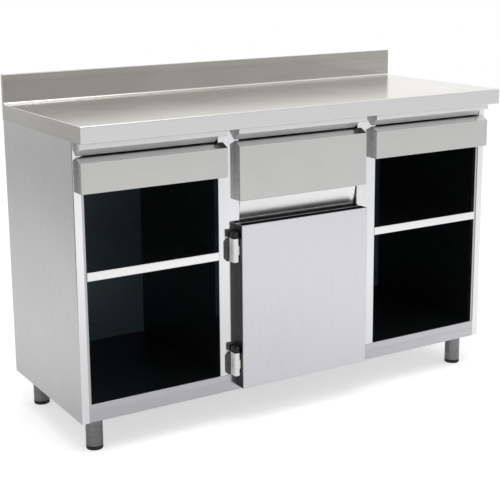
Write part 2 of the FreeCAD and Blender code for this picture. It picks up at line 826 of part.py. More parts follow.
def leg_plates():
    """Corner plates inside the base tray that take the leg screws."""
    plates = []
    half = leg_plate_size / 2
    low = leg_clearance + sheet
    x_limit = half_length - bend
    y_front_limit = frame_y + rebate_step + sheet
    y_rear_limit = cabinet_back - 2 * sheet - bend
    for x, y in leg_places().values():
        x0, x1 = max(x - half, -x_limit), min(x + half, x_limit)
        y0, y1 = max(y - half, y_front_limit), min(y + half, y_rear_limit)
        plate = box(x0, x1, y0, y1, low, low + leg_plate_thickness)
        spacer = rod(leg_flange_radius, x, y, leg_clearance, low)
        inside = box(x0, x1, y0 + worktop_return, y1 - worktop_return, leg_clearance, low)
        plate = fused([plate, spacer.common(inside)])
        for dx, dy in leg_screw_offsets():
            plate = plate.cut(rod(leg_screw_radius, x + dx, y + dy, leg_clearance, base_top))
        plates.append(plate)
    return plates


def leg_screws():
    screws = []
    top = leg_clearance + sheet + leg_plate_thickness
    bottom = leg_clearance - leg_flange_thickness
    for x, y in leg_places().values():
        for dx, dy in leg_screw_offsets():
            shank = rod(leg_screw_radius, x + dx, y + dy, bottom, top)
            head = rod(leg_screw_head_radius, x + dx, y + dy, bottom - leg_screw_head, bottom)
            screws.append(fused([shank, head]))
    return screws


def foot(x, y):
    """Levelling foot: a moulded shoe under the tube, its plug and its threaded stud."""
    shoe = rod(foot_radius, x, y, 0, foot_height)
    rims = [edge for edge in shoe.Edges if edge.BoundBox.ZLength < edge_match]
    shoe = shoe.makeFillet(sheet, rims)
    plug_radius = leg_radius - leg_wall - foot_plug_clearance
    plug = rod(plug_radius, x, y, foot_height, foot_height + foot_plug_height)
    stud = rod(foot_stud_radius, x, y, foot_height, foot_height + foot_stud_length)
    return fused([shoe, plug, stud])


# ---- write every piece ----
BAY_NAMES = {-1: "left", 0: "middle", 1: "right"}

save("worktop", worktop())
save("worktop_board", worktop_board())
save("worktop_stiffeners", worktop_stiffeners())
save("left_side_panel", left_side_panel())
save("right_side_panel", mirrored(left_side_panel()))
save("left_stile", left_stile())
save("right_stile", mirrored(left_stile()))
save("back_panel", back_panel())
save("base_tray", base_tray())
save("top_channels", top_channels())
save("middle_rail", middle_rail())

for bay, side_name in BAY_NAMES.items():
    save(side_name + "_grip_rail", grip_rail(bay))
    save(side_name + "_lining", lining(bay, bay != 0))
for bay in (-1, 1):
    save(BAY_NAMES[bay] + "_drawer_rail", drawer_rail(bay))
    save(BAY_NAMES[bay] + "_shelf", shelf(bay))
save("shelf_brackets", shelf_brackets())

for bay, side_name in BAY_NAMES.items():
    tall = bay == 0
    tray_low = tall_tray_bottom if tall else shallow_tray_bottom
    tray_height = tall_tray_height if tall else shallow_tray_height
    front_low = tall_bottom if tall else shallow_bottom
    save(side_name + "_drawer_front", drawer_front(bay * bay_pitch, front_low, tray_half_width(bay),
                                                   tray_low, tray_low + tray_height))
    save(side_name + "_drawer_tray", drawer_tray(bay, tray_low, tray_height))
    cabinet_members, middle_members, drawer_members = runner_members(bay, tray_low, tray_height)
    save(side_name + "_cabinet_runners", cabinet_members)
    save(side_name + "_middle_runners", middle_members)
    save(side_name + "_drawer_runners", drawer_members)
save("grounds_bin", grounds_bin())
save("knock_bar", knock_bar())
save("knock_bar_sleeve", knock_bar_sleeve())

save("door_outer_panel", door_outer_panel())
save("door_grip_channel", door_grip_channel())
save("door_edge_strip", door_edge_strip())
save("door_inner_panel", door_inner_panel())
save("hinge_plates", hinge_plates())
save("hinge_pins", hinge_pins())
save("hinge_leaves", hinge_leaves())
save("hinge_caps", hinge_caps())
save("door_catch", door_catch())
save("door_strike", door_strike())

for place, (leg_x, leg_y) in leg_places().items():
    save(place + "_leg", leg(leg_x, leg_y))
    save(place + "_foot", foot(leg_x, leg_y))
save("leg_plates", leg_plates())
save("leg_screws", leg_screws())
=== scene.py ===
# %% [markdown]
# # A stainless steel service counter
#
# The counter's body, drawers, door and legs come from the CAD model as a fixed frame.
# Everything below dresses that frame. It gives each part the finish that the real sheet,
# tube or moulding has, adds the small things that a maker adds last, such as weld seams,
# rolled hems and rivets, and sets up a white studio. Nothing in the frame is moved, because
# the same model is used for the motion, so a dressed part must stay where it is.

# %% Load the frame
import bpy
import math
import numpy as np
from mathutils import Matrix, Vector


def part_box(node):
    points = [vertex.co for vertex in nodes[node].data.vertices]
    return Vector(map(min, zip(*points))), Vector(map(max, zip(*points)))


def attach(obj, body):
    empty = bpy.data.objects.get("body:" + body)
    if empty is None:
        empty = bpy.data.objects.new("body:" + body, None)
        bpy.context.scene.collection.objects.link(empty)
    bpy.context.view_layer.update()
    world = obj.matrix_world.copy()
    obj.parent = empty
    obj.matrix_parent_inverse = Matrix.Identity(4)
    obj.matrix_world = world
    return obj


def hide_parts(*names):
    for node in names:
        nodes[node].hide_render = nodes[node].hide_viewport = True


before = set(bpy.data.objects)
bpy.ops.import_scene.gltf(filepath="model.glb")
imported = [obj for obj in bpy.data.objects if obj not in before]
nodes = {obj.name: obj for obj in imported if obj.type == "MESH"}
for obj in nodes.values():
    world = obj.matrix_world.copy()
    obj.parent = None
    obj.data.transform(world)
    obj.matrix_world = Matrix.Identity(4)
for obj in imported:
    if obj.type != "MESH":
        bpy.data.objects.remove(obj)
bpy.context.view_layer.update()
MM = 0.001
print("parts in the frame:", len(nodes))

# %% [markdown]
# ## Camera
#
# The counter is seen from its front left, from just above the splashback. The lens is long,
# so the worktop's far end doesn't shrink much. A small shift keeps the camera's tilt low, and
# with it the lean of the upright edges. A camera could also be aimed with a constraint, but
# three turns written in order are easier to read back.

# %% Place the camera
EYE = (-1.9519, -3.0993, 1.4063)
TURN_RIGHT = math.radians(30.326)
TILT_DOWN = math.radians(11.913)
ROLL = math.radians(-0.743)
camera_data = bpy.data.cameras.new("counter_camera")
camera_data.sensor_width = 36.0
camera_data.lens = 82.61
camera_data.shift_x = 0.055
camera_data.shift_y = -0.10
camera = bpy.data.objects.new("counter_camera", camera_data)
bpy.context.scene.collection.objects.link(camera)
camera.matrix_world = (
    Matrix.Translation(EYE)
    @ Matrix.Rotation(-TURN_RIGHT, 4, "Z")
    @ Matrix.Rotation(math.pi / 2 - TILT_DOWN, 4, "X")
    @ Matrix.Rotation(ROLL, 4, "Z")
)
bpy.context.scene.camera = camera
bpy.context.scene.view_settings.view_transform = "Standard"
print("lens, mm:", round(camera_data.lens, 2))

# %% [markdown]
# ## Colours
#
# A colour picker shows a colour as a hex number, which is spaced the way the eye sees steps
# of tone. The renderer works with amounts of light. One function turns the first into the
# second, by the curve that the sRGB standard gives. The linear numbers could be typed in
# directly, but nobody can picture a tone from them.

# %% Colour from hex
def linear(hex_colour):
    """sRGB hex to linear RGBA: c / 12.92 below 0.04045, ((c + 0.055) / 1.055) ^ 2.4 above."""
    channels = np.array([int(hex_colour[i:i + 2], 16) for i in (1, 3, 5)]) / 255
    low = channels / 12.92
    high = ((channels + 0.055) / 1.055) ** 2.4
    return (*np.where(channels <= 0.04045, low, high).tolist(), 1.0)


print("mid grey in linear numbers:", round(linear("#808080")[0], 3))

# %% [markdown]
# ## Helpers for materials
#
# Finishes are built from shader nodes. One helper adds a node, sets it and links it, so that
# each material below reads as a list of what it is made of. The other two start an empty
# material, and put a finished one on parts of the frame. All of this could be clicked
# together in the shader editor, but a script can give many parts the same finish.

# %% Node and material helpers
def add(tree, kind, settings=None, **inputs):
    """Add one node. settings are its properties, inputs its sockets: a value, or one to link.

    A socket goes by its name, with _ for a space, or by _ and its number. A node that is
    given as a value stands for its first output.
    """
    node = tree.nodes.new(kind)
    for key, value in (settings or {}).items():
        setattr(node, key, value)
    for key, value in inputs.items():
        socket = node.inputs[int(key[1:]) if key[1:].isdigit() else key.replace("_", " ")]
        if isinstance(value, bpy.types.Node):
            value = value.outputs[0]
        if isinstance(value, bpy.types.NodeSocket):
            tree.links.new(value, socket)
        else:
            socket.default_value = value
    return node


def new_material(name):
    """An empty material, its node tree, and the output that gives a point's place in metres."""
    material = bpy.data.materials.new(name)
    material.use_nodes = True
    material.node_tree.nodes.clear()
    place = add(material.node_tree, "ShaderNodeTexCoord").outputs["Object"]
    return material, material.node_tree, place


def dress(material, *names):
    """Put a finish on CAD parts, in their own material slots."""
    for name in names:
        mesh = nodes[name].data
        if not mesh.materials:
            mesh.materials.append(material)
        for i in range(len(mesh.materials)):
            mesh.materials[i] = material
    print(material.name, "on parts:", len(names))


print("parts still without a finish:", len(nodes))

# %% [markdown]
# ## Which way the grain runs
#
# Sheet steel for kitchens is ground with a belt in one direction. The belt's scratches are a
# tenth of a millimetre wide and run into each other, so no end of one can be seen. They are
# drawn as noise that is stretched along the grain. Real scratches are too fine to show at
# this distance, so they are drawn two millimetres wide. Wider streaks run the same way.
#
# A folded sheet has faces that look along the grain, and they would cut the long noise into
# blotches. Separate materials for those faces would need the sheet to be split, so the face's
# own normal turns the pattern instead.

# %% Grain along an axis
GRAIN_WIDTH = 2.0 * MM
GRAIN_LENGTH = 900 * MM
STREAK_WIDTH = 12 * MM
STREAK_LENGTH = 3000 * MM
SQUARE_TO_GRAIN = 0.8
AXES = {"x": 0, "y": 1, "z": 2}
TURNED_GRAIN = {"x": "y", "y": "x", "z": "y"}


def stretched(width, length, along):
    """Mapping scale of a pattern that is width across and length along one axis: 1 / size."""
    scale = [1 / width] * 3
    scale[AXES[along]] = 1 / length
    return scale


def grain_places(tree, place, along):
    """Places to look up the scratches and the streaks at, and 1 on faces square to the grain."""
    normal = add(tree, "ShaderNodeNewGeometry").outputs["True Normal"]
    part = add(tree, "ShaderNodeSeparateXYZ", Vector=normal).outputs[AXES[along]]
    size = add(tree, "ShaderNodeMath", {"operation": "ABSOLUTE"}, _0=part)
    square = add(tree, "ShaderNodeMath", {"operation": "GREATER_THAN"},
                 _0=size, _1=SQUARE_TO_GRAIN)
    places = []
    for width, length in ((GRAIN_WIDTH, GRAIN_LENGTH), (STREAK_WIDTH, STREAK_LENGTH)):
        plain = add(tree, "ShaderNodeMapping", Vector=place,
                    Scale=stretched(width, length, along))
        other = add(tree, "ShaderNodeMapping", Vector=place,
                    Scale=stretched(width, length, TURNED_GRAIN[along]))
        chosen = add(tree, "ShaderNodeMix", {"data_type": "VECTOR"},
                     _0=square, _4=plain, _5=other)
        places.append(chosen.outputs[1])
    return *places, square


print("scale across and along the grain:", [round(s, 1) for s in stretched(
    GRAIN_WIDTH, GRAIN_LENGTH, "z")[1:]])

# %% [markdown]
# ## Folds and upstands
#
# A front fold is polished smoother, and its tone is painted: lighter on the side panels' front
# folds, a painted highlight, and darker on the worktop's front edge, painted shade. The
# upstand at the back of a worktop and its welded ends get a darker tone, which is painted
# shade too. Each zone could be a slot of its own, but it is the same sheet, so the depth in
# the counter tells the zones apart, and the finish changes over at a Y level.

# %% Polished in front, painted shade behind
# The light grey below paints shade onto the worktop's upstand and welded ends.
PAINTED_SHADE_GREY = "#cdcdcb"
POLISHED = 0.12


def painted_shade_behind(tree, place, level, square, tone):
    """Painted shade: the tone times a light grey, behind a Y level and on faces square to the
    grain.
    """
    depth = add(tree, "ShaderNodeSeparateXYZ", Vector=place).outputs["Y"]
    behind = add(tree, "ShaderNodeMath", {"operation": "GREATER_THAN"}, _0=depth, _1=level)
    painted_dark = add(tree, "ShaderNodeMath", {"operation": "MAXIMUM"}, _0=behind, _1=square)
    return add(tree, "ShaderNodeMix", {"data_type": "RGBA", "blend_type": "MULTIPLY"},
               _0=painted_dark, _6=tone, _7=linear(PAINTED_SHADE_GREY)).outputs[2]


def polished_and_painted_before(tree, place, level, colour, tone, rough):
    """The tone and the roughness, changed in front of a Y level to a painted tone and a polish.
    """
    depth = add(tree, "ShaderNodeSeparateXYZ", Vector=place).outputs["Y"]
    front = add(tree, "ShaderNodeMath", {"operation": "LESS_THAN"}, _0=depth, _1=level)
    tone = add(tree, "ShaderNodeMix", {"data_type": "RGBA"},
               _0=front, _6=tone, _7=linear(colour)).outputs[2]
    rough = add(tree, "ShaderNodeMix", {"data_type": "FLOAT"},
                _0=front, _2=rough, _3=POLISHED)
    return tone, rough


print("roughness of a polished fold:", POLISHED)

# %% [markdown]
# ## Ground stainless sheet
#
# The sheet is 18/10 stainless. Its scratches blur a reflection across the grain and hardly
# along it. That could be done with the shader's anisotropy, which needs a tangent on every
# face, or with noise that tilts the surface. Noise is used here, because it gives both the
# blur and the fine lines. Rolling and wiping leave slow clouds, in which the tone and the
# gloss change a little.

# %% Ground stainless steel
CLOUD_SIZE = 260 * MM
SCRATCH_DEPTH = 0.05 * MM
ROUGHNESS_SPREAD = 0.25


def ground_steel(name, colour, shade, roughness, along, scratch=0.2, streaks=0.5, clouds=0.5,
                 fold=None, fold_painted_tone="#f0f0f2", upstand=None):
    """Ground sheet: two close tones, scratches and streaks along one axis, and slow clouds.

    colour and shade are the light and dark tone, roughness the middle of its range. scratch is
    how far the scratches tilt the surface, streaks and clouds how much each changes the tone.
    In front of the Y level fold the sheet is polished, and gets a tone of its own that is
    painted light. Behind the Y level upstand, and on faces square to the grain, it gets a darker
    tone, which is painted shade.
    """
    material, tree, place = new_material(name)
    fine_place, broad_place, square = grain_places(tree, place, along)
    grain = add(tree, "ShaderNodeTexNoise", Vector=fine_place, Scale=1.0, Detail=1.0)
    streak = add(tree, "ShaderNodeTexNoise", Vector=broad_place, Scale=1.0, Detail=1.0)
    cloud = add(tree, "ShaderNodeTexNoise", Vector=place, Scale=1 / CLOUD_SIZE, Detail=2.0)
    from_streak = add(tree, "ShaderNodeMath", {"operation": "MULTIPLY_ADD"},
                      _0=streak, _1=2 * streaks, _2=0.5 - streaks)
    from_cloud = add(tree, "ShaderNodeMath", {"operation": "MULTIPLY_ADD"},
                     _0=cloud, _1=2 * clouds, _2=-clouds)
    share = add(tree, "ShaderNodeMath", {"operation": "ADD", "use_clamp": True},
                _0=from_streak, _1=from_cloud)
    tone = add(tree, "ShaderNodeMix", {"data_type": "RGBA"},
               _0=share, _6=linear(shade), _7=linear(colour)).outputs[2]
    gloss = add(tree, "ShaderNodeMix", {"data_type": "FLOAT"}, _0=0.5, _2=grain, _3=cloud)
    rough = add(tree, "ShaderNodeMapRange", Value=gloss,
                To_Min=roughness * (1 - ROUGHNESS_SPREAD),
                To_Max=roughness * (1 + ROUGHNESS_SPREAD))
    bump = add(tree, "ShaderNodeBump", Strength=scratch, Distance=SCRATCH_DEPTH, Height=grain)
    if upstand is not None:
        tone = painted_shade_behind(tree, place, upstand, square, tone)
    if fold is not None:
        tone, rough = polished_and_painted_before(tree, place, fold, fold_painted_tone, tone, rough)
    shader = add(tree, "ShaderNodeBsdfPrincipled", Base_Color=tone, Metallic=1.0,
                 Roughness=rough, Normal=bump)
    add(tree, "ShaderNodeOutputMaterial", Surface=shader)
    return material


print("share of the roughness that clouds and scratches change:", ROUGHNESS_SPREAD)

# %% [markdown]
# ## Worktop, panels and fronts
#
# Each part is cut so that its grain runs the way the eye expects: along the worktop and the
# drawers, and up the side panels and the door. One steel for all of them would be simpler,
# but the sheets come from different rolls and belts. The worktop is pale and smooth, the
# panels and the drawers are greyer, and the door is a little lighter again. So each gets its
# own tones and roughness.

# %% Dress worktop, panels and fronts
BAYS = ("left", "middle", "right")
FOLD_DEPTH = 0.6 * MM
UPSTAND_DEPTH = 14.5 * MM
worktop_low, worktop_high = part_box("worktop")
panel_low, panel_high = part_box("left_side_panel")
# The worktop's front edge gets a darker tone, and its upstand and ends a darker one too, all
# painted shade.
worktop_steel = ground_steel(
    "ground_stainless_worktop", "#efede8", "#dcd9d3", 0.20, "x", scratch=0.06, streaks=0.45,
    fold=worktop_low[1] + FOLD_DEPTH, fold_painted_tone="#dddddd",
    upstand=worktop_high[1] - UPSTAND_DEPTH)
# The side panels' front folds get a lighter tone, a painted highlight.
side_steel = ground_steel(
    "ground_stainless_panel", "#cacac9", "#bababa", 0.28, "z", scratch=0.04, streaks=0.12,
    fold=panel_low[1] + FOLD_DEPTH)
drawer_steel = ground_steel(
    "ground_stainless_drawer", "#d3d4d2", "#c6c7c5", 0.26, "x", scratch=0.05, streaks=0.15)
door_steel = ground_steel(
    "ground_stainless_door", "#e4e2e6", "#d8d7dc", 0.28, "z", scratch=0.03, streaks=0.08,
    clouds=0.3)
dress(worktop_steel, "worktop")
dress(side_steel, "left_side_panel", "right_side_panel", "back_panel")
dress(drawer_steel, *[bay + "_drawer_front" for bay in BAYS])
dress(door_steel, "door_outer_panel")

# %% [markdown]
# ## Rails and inner sheets
#
# The strips behind the finger grooves are rough from a coarse belt. Light gets lost in the
# groove, so their tones are painted pale, as painted light. The leaning rail lies in the shade
# of the tall drawer above it, so its tone is painted pale too, but it is smoother. Sheets inside
# the cabinet are left as the mill rolled them: grey, even and a little matt. They could share
# the rail's finish, but a plainer steel inside is what tells the eye that the outside was
# ground on purpose.

# %% Dress rails and inner sheets
rail_steel = ground_steel(
    "ground_stainless_rail", "#ceced1", "#bcbcc0", 0.22, "x", scratch=0.1)
# The pale tones of the grip rails and the middle rail are painted light against the grooves'
# shade.
grip_steel = ground_steel(
    "ground_stainless_grip_rail", "#f2f2f2", "#e6e6e8", 0.45, "x", scratch=0.08)
lean_steel = ground_steel(
    "ground_stainless_middle_rail", "#f4f4f4", "#eaeaec", 0.25, "x", scratch=0.05, streaks=0.1)
inside_steel = ground_steel(
    "mill_finish_stainless", "#aeb0b0", "#989a9b", 0.36, "y", scratch=0.1)
dress(rail_steel, "base_tray")
dress(grip_steel, *[bay + "_grip_rail" for bay in BAYS])
dress(lean_steel, "middle_rail")
dress(inside_steel, "worktop_stiffeners", "top_channels", "middle_lining", "left_drawer_rail",
      "right_drawer_rail", "shelf_brackets", "door_inner_panel", "leg_plates", "grounds_bin",
      "door_strike", *[bay + "_drawer_tray" for bay in BAYS])

# %% [markdown]
# ## Bright stainless steel
#
# The uprights, the shelves, the hinge pins and the legs have a bright finish: the sheet was
# rolled between polished rolls, and the tube was turned against a felt wheel. It mirrors the
# room with only a soft edge. A material of its own could leave the grain out, but even this
# finish has a faint direction, so the function for ground sheet makes it, with a low
# roughness and little scratch. On the legs the wheel's marks run round the tube, so the grain
# is long in X and narrow in Z. The legs' tones are darker, which is painted shade: it stands
# for the counter's own shade that the tube mirrors, and lets the legs read as round tube
# against the white floor.

# %% Dress the bright steel
CORNERS = ("front_left", "front_right", "rear_left", "rear_right")
post_steel = ground_steel(
    "bright_rolled_stainless_upright", "#eeeef0", "#e2e2e6", 0.10, "z", scratch=0.04,
    clouds=0.3)
shelf_steel = ground_steel(
    "bright_rolled_stainless_shelf", "#f6f6f6", "#ebebeb", 0.16, "x", scratch=0.05, clouds=0.3)
pin_steel = ground_steel(
    "polished_stainless_pin", "#f0f0f0", "#dcdcde", 0.12, "z", scratch=0.05)
# The legs' darker tones are painted shade, for the counter's shade that the tube mirrors.
leg_steel = ground_steel("wheel_polished_tube", "#8c8c8e", "#6e6e72", 0.10, "x", scratch=0.12)
bar_steel = ground_steel("drawn_stainless_bar", "#c8c8c8", "#b4b4b4", 0.18, "x")
dress(post_steel, "left_stile", "right_stile")
dress(shelf_steel, "left_shelf", "right_shelf")
dress(pin_steel, "hinge_pins")
dress(leg_steel, *[corner + "_leg" for corner in CORNERS])
dress(bar_steel, "knock_bar")

# %% [markdown]
# ## Hinges
#
# The hinges are cast in one alloy. Their knuckles have a white baked enamel, and their flat
# leaves are left dark from a chemical bath, which wears thin in clouds. It could be two
# materials, but each leaf and its knuckles are one casting, so one material changes over at
# the knuckles' width. A ramp a tenth of a millimetre wide does that on the X coordinate.

# %% Two-tone hinge castings
KNUCKLE_HALF = 9.2 * MM
CHANGE_OVER = 0.1 * MM
WORN_PATCH = 12 * MM
ENAMEL_ROUGHNESS = 0.3
LEAF_ROUGHNESS = 0.42
pin_low, pin_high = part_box("hinge_pins")
pin = (pin_low + pin_high) / 2
casting, tree, place = new_material("enamelled_and_blackened_casting")
sideways = add(tree, "ShaderNodeSeparateXYZ", Vector=place).outputs["X"]
from_axis = add(tree, "ShaderNodeMath", {"operation": "SUBTRACT"}, _0=sideways, _1=pin[0])
apart = add(tree, "ShaderNodeMath", {"operation": "ABSOLUTE"}, _0=from_axis)
leaf = add(tree, "ShaderNodeMapRange", Value=apart, From_Min=KNUCKLE_HALF,
           From_Max=KNUCKLE_HALF + CHANGE_OVER)
worn = add(tree, "ShaderNodeTexNoise", Vector=place, Scale=1 / WORN_PATCH, Detail=3.0)
dark = add(tree, "ShaderNodeMix", {"data_type": "RGBA"},
           _0=worn, _6=linear("#55534f"), _7=linear("#6c6b69")).outputs[2]
tone = add(tree, "ShaderNodeMix", {"data_type": "RGBA"},
           _0=leaf, _6=linear("#fafafb"), _7=dark).outputs[2]
rough = add(tree, "ShaderNodeMapRange", Value=leaf, To_Min=ENAMEL_ROUGHNESS,
            To_Max=LEAF_ROUGHNESS)
shader = add(tree, "ShaderNodeBsdfPrincipled", Base_Color=tone, Metallic=leaf, Roughness=rough)
add(tree, "ShaderNodeOutputMaterial", Surface=shader)
dress(casting, "hinge_plates", "hinge_leaves")
print("knuckle width, mm:", round(2 * KNUCKLE_HALF / MM, 1))

# %% [markdown]
# ## Dark coated lining
#
# The open bays are lined with sheet that has a stoved coating: near black on the sides, floor
# and ceiling. The back sheet gets a lighter blue grey, a painted sheen that stands for light it
# mirrors, which makes the bay look deep. The coating is smooth and a little glossy, with the
# faint ripple of paint that flowed out before it set.
# The ripple is a bump from noise a few millimetres across. The back sheet could have a
# material of its own, but the lining is one part, so the tone changes at the back sheet's
# depth. Paint isn't metal, so its colour stays dark and the gloss lies over it.

# %% Stoved lining
RIPPLE = 6 * MM
RIPPLE_DEPTH = 0.05 * MM
BACK_SHEET = 1.3 * MM
lining_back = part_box("left_lining")[1][1] - BACK_SHEET
lining, tree, place = new_material("black_stoved_lining")
ripple = add(tree, "ShaderNodeTexNoise", Vector=place, Scale=1 / RIPPLE, Detail=1.0)
cloud = add(tree, "ShaderNodeTexNoise", Vector=place, Scale=1 / CLOUD_SIZE, Detail=1.0)
sides = add(tree, "ShaderNodeMix", {"data_type": "RGBA"},
            _0=cloud, _6=linear("#0c0e0f"), _7=linear("#121415")).outputs[2]
depth = add(tree, "ShaderNodeSeparateXYZ", Vector=place).outputs["Y"]
back = add(tree, "ShaderNodeMath", {"operation": "GREATER_THAN"}, _0=depth, _1=lining_back)
# The back sheet's lighter blue grey is a painted sheen.
tone = add(tree, "ShaderNodeMix", {"data_type": "RGBA"},
           _0=back, _6=sides, _7=linear("#4d5c64")).outputs[2]
rough = add(tree, "ShaderNodeMapRange", Value=cloud, To_Min=0.24, To_Max=0.32)
bump = add(tree, "ShaderNodeBump", Strength=0.15, Distance=RIPPLE_DEPTH, Height=ripple)
shader = add(tree, "ShaderNodeBsdfPrincipled", Base_Color=tone, Roughness=rough, Normal=bump)
add(tree, "ShaderNodeOutputMaterial", Surface=shader)
dress(lining, "left_lining", "right_lining")
print("back sheet behind Y, mm:", round(lining_back / MM, 1))

# %% [markdown]
# ## Black mouldings
#
# The finger channel in the door's top, the strip on its hinge side, the hinge caps, the
# catch and the feet are injection moulded black nylon. The black of the hinge caps also stands
# for the dark shade above each hinge barrel, a painted shade. The mould was spark eroded, which
# leaves a fine even grain, and handling polishes the high places. Voronoi cells would give
# pebbles, so plain noise is used, with its scale from the grain's size. The grain is half a
# millimetre on the real thing and is drawn at one, to show. The knock bar's rubber sleeve is
# moulded too, and gets a coarser and duller version.

# %% Moulded nylon and rubber
MOULD_GRAIN = 1.0 * MM
MOULD_RELIEF = 0.1 * MM
HANDLED_PATCH = 30 * MM
HANDLED_SPREAD = 0.2


def moulding(name, colour, worn_colour, roughness, grain_size, relief):
    """Moulded polymer: noise grain as bump, and a slow change from colour to its worn tone."""
    material, tree, place = new_material(name)
    grain = add(tree, "ShaderNodeTexNoise", Vector=place, Scale=1 / grain_size, Detail=2.0)
    cloud = add(tree, "ShaderNodeTexNoise", Vector=place, Scale=1 / HANDLED_PATCH, Detail=3.0)
    tone = add(tree, "ShaderNodeMix", {"data_type": "RGBA"},
               _0=cloud, _6=linear(colour), _7=linear(worn_colour)).outputs[2]
    rough = add(tree, "ShaderNodeMapRange", Value=cloud,
                To_Min=roughness * (1 + HANDLED_SPREAD),
                To_Max=roughness * (1 - HANDLED_SPREAD))
    bump = add(tree, "ShaderNodeBump", Strength=relief, Distance=MOULD_RELIEF, Height=grain)
    shader = add(tree, "ShaderNodeBsdfPrincipled", Base_Color=tone, Roughness=rough,
                 Normal=bump)
    add(tree, "ShaderNodeOutputMaterial", Surface=shader)
    return material


nylon = moulding("moulded_black_nylon", "#0c0c0d", "#191919", 0.45, MOULD_GRAIN, 0.5)
rubber = moulding("moulded_nitrile_rubber", "#131313", "#232221", 0.75, 2 * MOULD_GRAIN, 0.8)
# The hinge caps' black also stands for the shade above each hinge barrel.
dress(nylon, "door_grip_channel", "door_edge_strip", "hinge_caps", "door_catch",
      *[corner + "_foot" for corner in CORNERS])
dress(rubber, "knock_bar_sleeve")

# %% [markdown]
# ## Zinc plate
#
# The drawer runners and the leg screws are mild steel with bright zinc. Zinc grows in small
# crystals, and the clear bath after it leaves a faint blue and straw tint. Noise would blend
# the tints, so Voronoi cells three millimetres across stand for the crystals, each with its
# own tone.

# %% Zinc plated steel
CRYSTAL = 3 * MM
zinc, tree, place = new_material("zinc_plated_steel")
cells = add(tree, "ShaderNodeTexVoronoi", Vector=place, Scale=1 / CRYSTAL)
each = add(tree, "ShaderNodeSeparateColor", Color=cells.outputs["Color"])
tone = add(tree, "ShaderNodeMix", {"data_type": "RGBA"},
           _0=each, _6=linear("#a7acb4"), _7=linear("#bcbab2")).outputs[2]
rough = add(tree, "ShaderNodeMapRange", Value=each, To_Min=0.25, To_Max=0.38)
shader = add(tree, "ShaderNodeBsdfPrincipled", Base_Color=tone, Metallic=1.0, Roughness=rough)
add(tree, "ShaderNodeOutputMaterial", Surface=shader)
dress(zinc, *[name for name in nodes if name.endswith("_runners")], "leg_screws")

# %% [markdown]
# ## Chipboard under the worktop
#
# The steel top is glued to moisture-proof chipboard, which deadens its sound. Its flakes lie
# flat, three to eight millimetres long. A wood grain would run in one direction, so stretched
# Voronoi cells are used, and give each flake a tone.

# %% Chipboard
FLAKE_LENGTH = 7 * MM
FLAKE_THICKNESS = 1.2 * MM
FLAKE_RELIEF = 0.2 * MM
chipboard, tree, place = new_material("moisture_proof_chipboard")
flat = add(tree, "ShaderNodeMapping", Vector=place,
           Scale=stretched(FLAKE_LENGTH, FLAKE_THICKNESS, "z"))
cells = add(tree, "ShaderNodeTexVoronoi", Vector=flat, Scale=1.0)
each = add(tree, "ShaderNodeSeparateColor", Color=cells.outputs["Color"])
tone = add(tree, "ShaderNodeMix", {"data_type": "RGBA"},
           _0=each, _6=linear("#66685a"), _7=linear("#a29a86")).outputs[2]
bump = add(tree, "ShaderNodeBump", Strength=0.6, Distance=FLAKE_RELIEF, Height=each)
shader = add(tree, "ShaderNodeBsdfPrincipled", Base_Color=tone, Roughness=0.85, Normal=bump)
add(tree, "ShaderNodeOutputMaterial", Surface=shader)
dress(chipboard, "worktop_board")
board_low, board_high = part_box("worktop_board")
print("board, mm:", [round(side / MM) for side in board_high - board_low])

# %% [markdown]
# ## Faces of a grid
#
# Each small piece below is a tube on a grid: one count runs along it, from ring to ring, and
# the other runs round each ring. The grid's points are worked out as one array, and the faces
# follow from the grid's size alone. Blender could fill faces between loops of edges, but the
# counting shows that no face is left out. A face also has a front. The signed volume of a
# closed mesh tells whether all the fronts look outwards.

# %% Faces and their direction
def ring_faces(rows, columns):
    """Quads (i, j), (i, j + 1), (i + 1, j + 1), (i + 1, j), where j goes round and closes."""
    i, j = np.meshgrid(np.arange(rows - 1), np.arange(columns), indexing="ij")
    following = (j + 1) % columns
    quads = np.stack([i * columns + j, i * columns + following,
                      (i + 1) * columns + following, (i + 1) * columns + j], axis=-1)
    return quads.reshape(-1, 4)


def signed_volume(mesh):
    """Sum of a . (b x c) / 6 over the triangles: positive where faces look outwards."""
    mesh.calc_loop_triangles()
    corners = np.empty(len(mesh.vertices) * 3)
    mesh.vertices.foreach_get("co", corners)
    triangles = np.empty(len(mesh.loop_triangles) * 3, dtype=np.int32)
    mesh.loop_triangles.foreach_get("vertices", triangles)
    a, b, c = np.moveaxis(corners.reshape(-1, 3)[triangles.reshape(-1, 3)], 1, 0)
    return float(np.einsum("ij,ij->i", a, np.cross(b, c)).sum() / 6)


print("quads between 3 rings of 4 points:", len(ring_faces(3, 4)))

# %% [markdown]
# ## A piece from grids
#
# A piece can hold several equal tubes, such as all the rivets, in one mesh. A tube that
# closes on itself joins its last ring to its first, and a flat face closes each end of an
# open one. The piece is then hung on the body that it moves with, and given the finish that
# it shares. Separate objects for each rivet would work too, but they would only make a long
# list.

# %% One object from many tubes
SMOOTH_UP_TO = math.radians(40)


